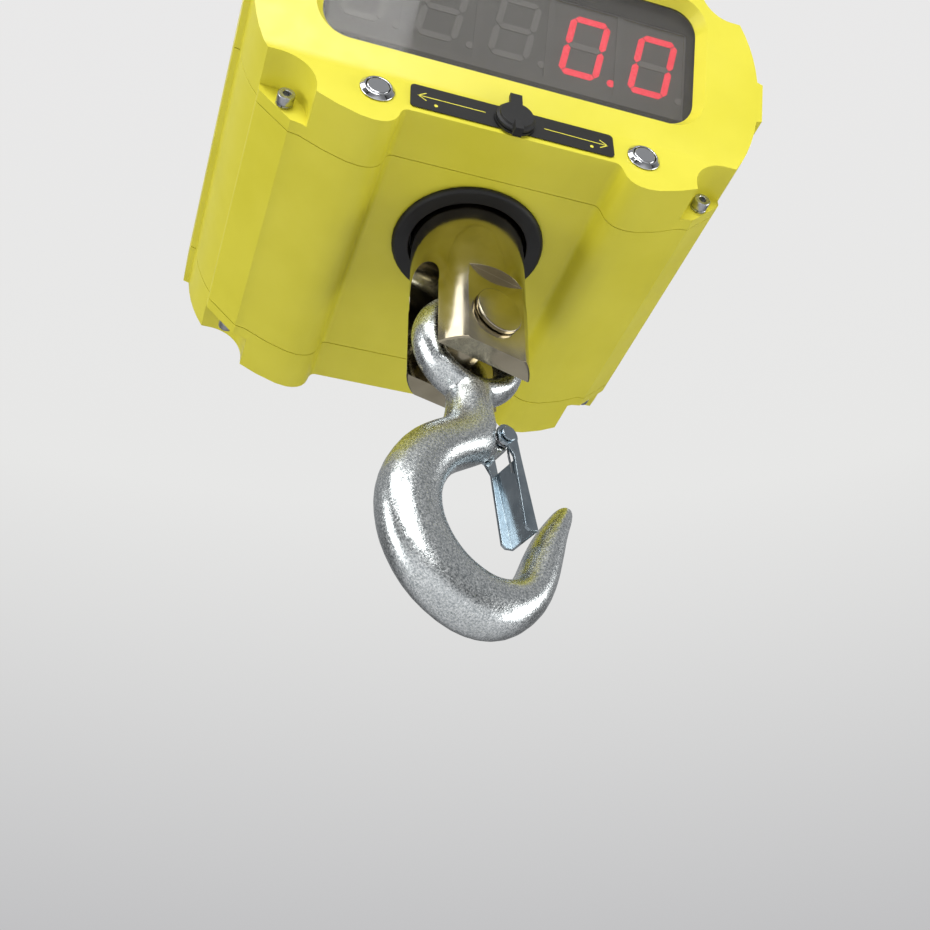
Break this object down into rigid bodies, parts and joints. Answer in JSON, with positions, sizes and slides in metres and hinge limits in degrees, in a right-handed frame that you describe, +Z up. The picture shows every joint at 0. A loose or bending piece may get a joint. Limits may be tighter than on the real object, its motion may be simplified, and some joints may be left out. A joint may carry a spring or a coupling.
{
  "type": "crane scale",
  "caption": "Hanging electronic crane scale with a tilted display, a shackle above and a swivelling latched hook below.",
  "frame": {"origin": "the inside of the shackle's crown, where the scale hangs from its support", "axes": "+Z up along the load line, -Y out of the display side, +X to the right of a person reading the display"},
  "size_m": [0.2196, 0.1922, 0.404],
  "materials": {
    "paint": "semi-gloss yellow-green powder coat with a faint orange peel",
    "zinc": "bright zinc plate over forged steel",
    "nickel": "turned steel with a bright nickel plate",
    "steel": "plain zinc-plated steel",
    "chrome": "polished and turned",
    "black_plastic": "matt black",
    "rubber": "matt black",
    "lens": "smoke-grey polished sheet with a darker printed border",
    "circuit_board": "green solder mask",
    "digit": "grey face with paler segments, a few lit red",
    "battery_case": "dark grey moulded case",
    "lamp": "small yellow lens",
    "alloy": "milled"
  },
  "bodies": {
    "housing": {"center_housing": "paint", "front_cover": "paint", "rear_cover": "paint", "front_gasket": "rubber", "rear_gasket": "rubber", "front_screw_lower_left": "steel", "front_screw_upper_left": "steel", "front_screw_lower_right": "steel", "front_screw_upper_right": "steel", "rear_screw_lower_left": "steel", "rear_screw_upper_left": "steel", "rear_screw_lower_right": "steel", "rear_screw_upper_right": "steel", "display_lens": "lens", "led_digit_1": "digit", "led_digit_2": "digit", "led_digit_3": "digit", "led_digit_4": "digit", "led_digit_5": "digit", "display_board": "circuit_board", "button_bezel_left": "chrome", "button_bezel_right": "chrome", "button_nut_left": "steel", "button_nut_right": "steel", "indicator_lamp_left": "lamp", "indicator_lamp_right": "lamp", "key_label": "black_plastic", "charge_socket": "black_plastic", "main_board": "circuit_board", "battery": "battery_case", "battery_bracket": "steel", "load_cell": "alloy", "lower_bush": "black_plastic", "upper_bush": "black_plastic", "thrust_bearing": "steel", "top_eye": "nickel", "top_spacer": "steel", "top_nut": "steel"},
    "shackle": {"shackle_bow": "zinc", "shackle_pin": "zinc", "shackle_nut": "zinc", "shackle_cotter": "steel"},
    "swivel": {"swivel_clevis": "nickel", "swivel_nut": "steel", "hook_pin": "nickel", "pin_clip": "steel"},
    "hook": {"hook": "zinc", "latch_rivet": "steel"},
    "latch": {"latch": "steel", "latch_spring": "steel"},
    "button_left": {"button_cap_left": "chrome"},
    "button_right": {"button_cap_right": "chrome"},
    "charge_cap": {"charge_cap": "rubber"}
  },
  "joints": [
    {"name": "shackle_swing", "type": "hinge", "parent": "housing", "child": "shackle", "pos_m": [0, 0, -0.067], "axis": [1, 0, 0], "range_deg": [-85, 85]},
    {"name": "swivel_turn", "type": "hinge", "parent": "housing", "child": "swivel", "pos_m": [0, 0, -0.164], "axis": [0, 0, 1], "continuous": true},
    {"name": "hook_swing", "type": "hinge", "parent": "swivel", "child": "hook", "pos_m": [0, 0, -0.254], "axis": [-0.2807, 0.9598, 0], "range_deg": [-50, 50]},
    {"name": "latch_open", "type": "hinge", "parent": "hook", "child": "latch", "pos_m": [0.01209, 0.00354, -0.3005], "axis": [-0.2807, 0.9598, 0], "range_deg": [0, 38], "stiffness_Nm_per_rad": 0.04, "springref_deg": -34.38},
    {"name": "button_left_press", "type": "slide", "parent": "housing", "child": "button_left", "axis": [0, 1, 0], "range_m": [0, 0.0008], "stiffness_N_per_m": 400, "springref_m": -0.0012},
    {"name": "button_right_press", "type": "slide", "parent": "housing", "child": "button_right", "axis": [0, 1, 0], "range_m": [0, 0.0008], "stiffness_N_per_m": 400, "springref_m": -0.0012},
    {"name": "charge_cap_pull", "type": "slide", "parent": "housing", "child": "charge_cap", "axis": [0, -1, 0], "range_m": [0, 0.008]}
  ]
}
